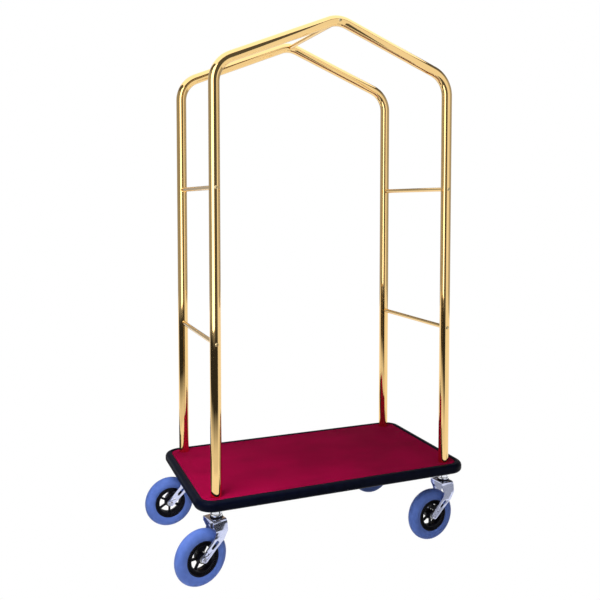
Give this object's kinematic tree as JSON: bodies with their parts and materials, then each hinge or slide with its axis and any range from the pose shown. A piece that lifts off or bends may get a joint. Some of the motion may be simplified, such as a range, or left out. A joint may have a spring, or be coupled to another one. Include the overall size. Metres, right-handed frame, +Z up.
{
  "type": "hotel luggage cart",
  "caption": "Luggage cart with gable-shaped tube hoops and a hanging rail over a carpeted deck with a rubber bumper, rolling on large swivel casters.",
  "frame": {"origin": "on the floor under the centre of the deck", "axes": "+X along the deck's length to the right seen from the front, +Y from the front hoop to the rear hoop, +Z up"},
  "size_m": [1.1329, 0.6004, 1.9394],
  "materials": {
    "polished_brass": "mirror-polished brass plate, lacquered",
    "screw_steel": "bright plated",
    "plain_steel": "bright turned steel",
    "plywood": "plain sanded",
    "carpet": "short cut pile, matt",
    "bumper_rubber": "smooth, slightly shiny",
    "frame_paint": "satin black",
    "chrome": "bright plated",
    "seal_rubber": "matt",
    "zinc_plate": "bright zinc plate",
    "bolt_zinc": "bright zinc plate",
    "rim_plastic": "satin black moulding",
    "tyre_rubber": "matt grey-blue, non-marking"
  },
  "bodies": {
    "cart": {"front_hoop": "polished_brass", "rear_hoop": "polished_brass", "upper_left_rod": "polished_brass", "upper_right_rod": "polished_brass", "lower_left_rod": "polished_brass", "lower_right_rod": "polished_brass", "hanging_rail": "polished_brass", "rod_screws": "screw_steel", "post_plugs": "plain_steel", "deck_board": "plywood", "carpet": "carpet", "bumper": "bumper_rubber", "front_bar": "frame_paint", "rear_bar": "frame_paint", "left_cross_bar": "frame_paint", "middle_cross_bar": "frame_paint", "right_cross_bar": "frame_paint", "deck_screws": "screw_steel", "stem_bolts": "plain_steel", "front_left_collar": "chrome", "front_left_dust_seal": "seal_rubber", "front_right_collar": "chrome", "front_right_dust_seal": "seal_rubber", "rear_left_collar": "chrome", "rear_left_dust_seal": "seal_rubber", "rear_right_collar": "chrome", "rear_right_dust_seal": "seal_rubber"},
    "front_left_swivel": {"front_left_fork": "zinc_plate", "front_left_swivel_bearing": "plain_steel", "front_left_axle_bolt": "bolt_zinc", "front_left_axle_nut": "bolt_zinc", "front_left_axle_spacers": "plain_steel"},
    "front_left_wheel": {"front_left_rim": "rim_plastic", "front_left_tyre": "tyre_rubber", "front_left_wheel_bearings": "plain_steel"},
    "front_right_swivel": {"front_right_fork": "zinc_plate", "front_right_swivel_bearing": "plain_steel", "front_right_axle_bolt": "bolt_zinc", "front_right_axle_nut": "bolt_zinc", "front_right_axle_spacers": "plain_steel"},
    "front_right_wheel": {"front_right_rim": "rim_plastic", "front_right_tyre": "tyre_rubber", "front_right_wheel_bearings": "plain_steel"},
    "rear_left_swivel": {"rear_left_fork": "zinc_plate", "rear_left_swivel_bearing": "plain_steel", "rear_left_axle_bolt": "bolt_zinc", "rear_left_axle_nut": "bolt_zinc", "rear_left_axle_spacers": "plain_steel"},
    "rear_left_wheel": {"rear_left_rim": "rim_plastic", "rear_left_tyre": "tyre_rubber", "rear_left_wheel_bearings": "plain_steel"},
    "rear_right_swivel": {"rear_right_fork": "zinc_plate", "rear_right_swivel_bearing": "plain_steel", "rear_right_axle_bolt": "bolt_zinc", "rear_right_axle_nut": "bolt_zinc", "rear_right_axle_spacers": "plain_steel"},
    "rear_right_wheel": {"rear_right_rim": "rim_plastic", "rear_right_tyre": "tyre_rubber", "rear_right_wheel_bearings": "plain_steel"}
  },
  "joints": [
    {"name": "front_left_swivel_turn", "type": "hinge", "parent": "cart", "child": "front_left_swivel", "pos_m": [-0.45, -0.2425, 0.22], "axis": [0, 0, 1], "continuous": true},
    {"name": "front_left_wheel_roll", "type": "hinge", "parent": "front_left_swivel", "child": "front_left_wheel", "pos_m": [-0.50989, -0.25855, 0.096], "axis": [0.2588, -0.9659, 0], "continuous": true},
    {"name": "front_right_swivel_turn", "type": "hinge", "parent": "cart", "child": "front_right_swivel", "pos_m": [0.45, -0.2425, 0.22], "axis": [0, 0, 1], "continuous": true},
    {"name": "front_right_wheel_roll", "type": "hinge", "parent": "front_right_swivel", "child": "front_right_wheel", "pos_m": [0.38834, -0.24898, 0.096], "axis": [0.1045, -0.9945, 0], "continuous": true},
    {"name": "rear_left_swivel_turn", "type": "hinge", "parent": "cart", "child": "rear_left_swivel", "pos_m": [-0.45, 0.2425, 0.22], "axis": [0, 0, 1], "continuous": true},
    {"name": "rear_left_wheel_roll", "type": "hinge", "parent": "rear_left_swivel", "child": "rear_left_wheel", "pos_m": [-0.51196, 0.24034, 0.096], "axis": [0.0349, -0.9994, 0], "continuous": true},
    {"name": "rear_right_swivel_turn", "type": "hinge", "parent": "cart", "child": "rear_right_swivel", "pos_m": [0.45, 0.2425, 0.22], "axis": [0, 0, 1], "continuous": true},
    {"name": "rear_right_wheel_roll", "type": "hinge", "parent": "rear_right_swivel", "child": "rear_right_wheel", "pos_m": [0.38815, 0.23818, 0.096], "axis": [0.0698, -0.9976, 0], "continuous": true}
  ]
}
